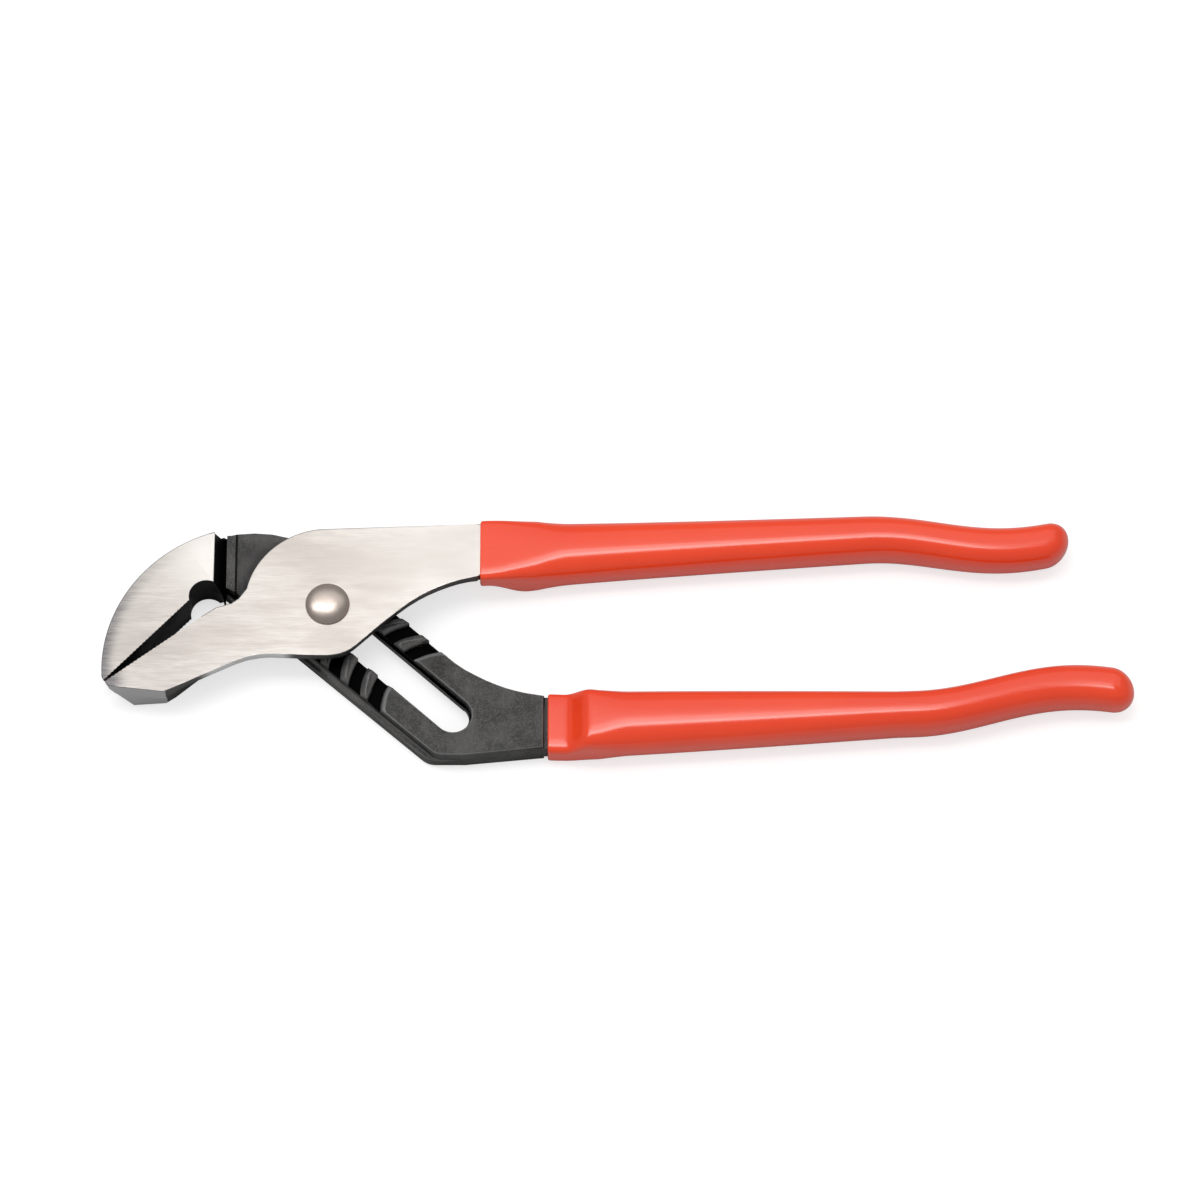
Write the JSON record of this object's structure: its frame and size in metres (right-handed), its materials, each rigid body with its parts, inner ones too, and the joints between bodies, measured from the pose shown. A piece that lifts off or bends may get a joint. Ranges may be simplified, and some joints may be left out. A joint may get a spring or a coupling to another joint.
{
  "type": "slip joint pliers",
  "caption": "Tongue and groove slip joint pliers with angled toothed jaws, a pipe notch, a grooved slot for the sliding pivot and two dipped grips.",
  "frame": {"origin": "point on the pivot axis at the resting plane: the flat end of the rivet's tail, level with the rear arm's back and the grips' undersides", "axes": "+X along the handles, away from the jaws; +Y across, from the lower handle to the upper handle; +Z along the pivot axis towards the rivet's domed head"},
  "size_m": [0.2541, 0.0635, 0.0141],
  "materials": {
    "front_steel": "satin ground face, dark oxide edges",
    "rear_steel": "dark oxide forging, satin ground jaw face",
    "grip_vinyl": "glossy dipped vinyl",
    "rivet_steel": "satin"
  },
  "bodies": {
    "rear_lever": {"rear_arm": "rear_steel", "lower_grip": "grip_vinyl"},
    "pivot": {"pivot_rivet": "rivet_steel", "rivet_washer": "rivet_steel"},
    "front_lever": {"front_arm": "front_steel", "upper_grip": "grip_vinyl"}
  },
  "joints": [
    {"name": "groove_shift", "type": "slide", "parent": "rear_lever", "child": "pivot", "axis": [0.7431, -0.6691, 0], "range_m": [0, 0.0399]},
    {"name": "jaw_hinge", "type": "hinge", "parent": "pivot", "child": "front_lever", "pos_m": [0, 0, 0.0095], "axis": [0, 0, 1], "range_deg": [0, 50]}
  ]
}
